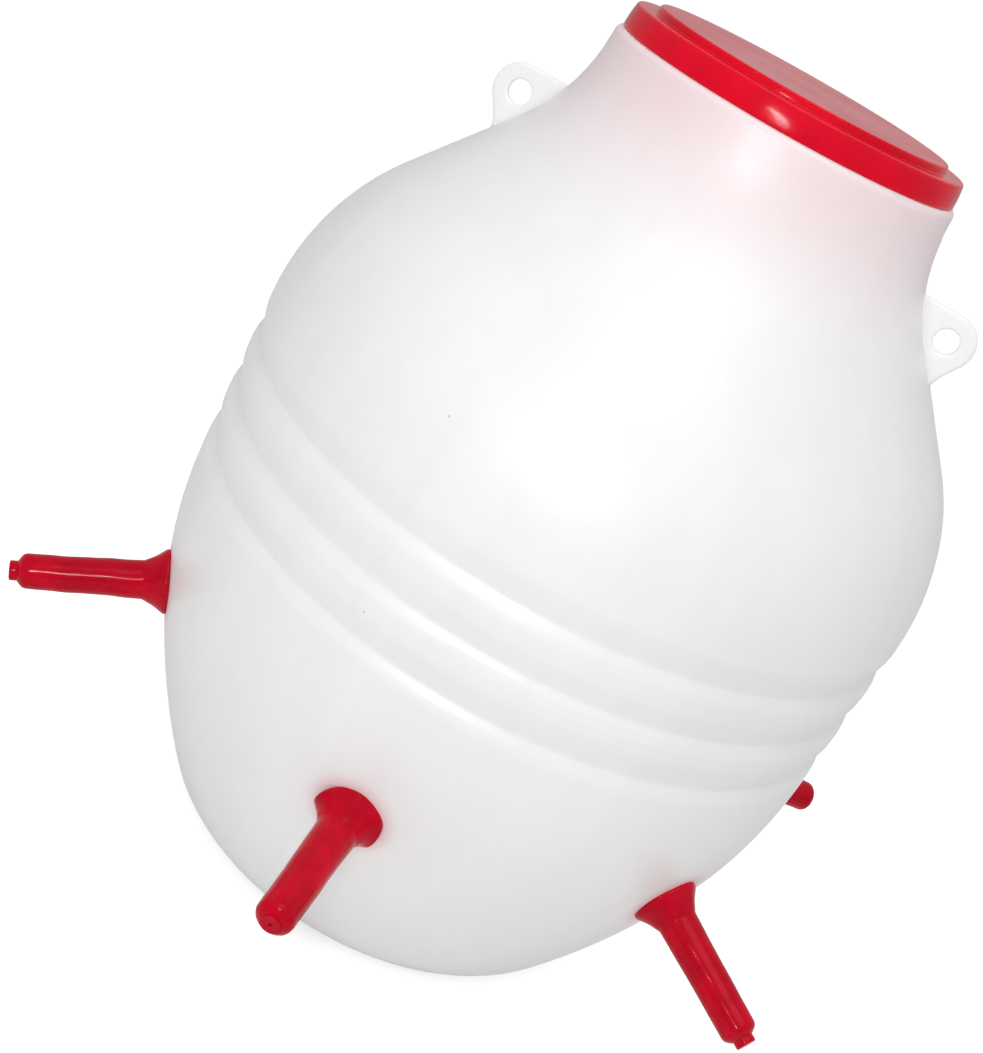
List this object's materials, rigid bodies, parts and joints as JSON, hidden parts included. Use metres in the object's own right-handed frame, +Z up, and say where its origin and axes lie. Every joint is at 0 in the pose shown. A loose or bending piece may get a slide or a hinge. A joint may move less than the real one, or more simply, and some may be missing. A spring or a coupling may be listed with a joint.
{
  "type": "lamb milk feeder",
  "caption": "Hanging milk feeder for lambs and kids: round translucent tank with lift-off lid, two hanging lugs and a ring of valved rubber teats.",
  "frame": {"origin": "centre of the tank's foot, on the surface it stands on", "axes": "+Z up through the middle of the lid; +X towards the right hanging lug; teat_1 points towards -Y"},
  "size_m": [0.3578, 0.4104, 0.3909],
  "materials": {
    "tank_plastic": "satin, milky, slightly translucent",
    "lid_plastic": "gloss",
    "teat_rubber": "gloss",
    "valve_plastic": "semi-gloss",
    "ball_steel": "polished"
  },
  "bodies": {
    "tank": {"tank": "tank_plastic", "left_hanging_lug": "tank_plastic", "right_hanging_lug": "tank_plastic", "teat_1": "teat_rubber", "valve_seat_1": "valve_plastic", "teat_2": "teat_rubber", "valve_seat_2": "valve_plastic", "teat_3": "teat_rubber", "valve_seat_3": "valve_plastic", "teat_4": "teat_rubber", "valve_seat_4": "valve_plastic", "teat_5": "teat_rubber", "valve_seat_5": "valve_plastic", "teat_6": "teat_rubber", "valve_seat_6": "valve_plastic"},
    "lid": {"lid": "lid_plastic"},
    "ball_1": {"valve_ball_1": "ball_steel"},
    "ball_2": {"valve_ball_2": "ball_steel"},
    "ball_3": {"valve_ball_3": "ball_steel"},
    "ball_4": {"valve_ball_4": "ball_steel"},
    "ball_5": {"valve_ball_5": "ball_steel"},
    "ball_6": {"valve_ball_6": "ball_steel"}
  },
  "joints": [
    {"name": "lid_lift", "type": "slide", "parent": "tank", "child": "lid", "axis": [0, 0, 1], "range_m": [0, 0.15]},
    {"name": "ball_1_travel", "type": "slide", "parent": "tank", "child": "ball_1", "axis": [0, 0.9625, 0.2713], "range_m": [0, 0.0023]},
    {"name": "ball_2_travel", "type": "slide", "parent": "tank", "child": "ball_2", "axis": [-0.8336, 0.4813, 0.2713], "range_m": [0, 0.0023]},
    {"name": "ball_3_travel", "type": "slide", "parent": "tank", "child": "ball_3", "axis": [-0.8336, -0.4813, 0.2713], "range_m": [0, 0.0023]},
    {"name": "ball_4_travel", "type": "slide", "parent": "tank", "child": "ball_4", "axis": [0, -0.9625, 0.2713], "range_m": [0, 0.0023]},
    {"name": "ball_5_travel", "type": "slide", "parent": "tank", "child": "ball_5", "axis": [0.8336, -0.4813, 0.2713], "range_m": [0, 0.0023]},
    {"name": "ball_6_travel", "type": "slide", "parent": "tank", "child": "ball_6", "axis": [0.8336, 0.4813, 0.2713], "range_m": [0, 0.0023]}
  ]
}
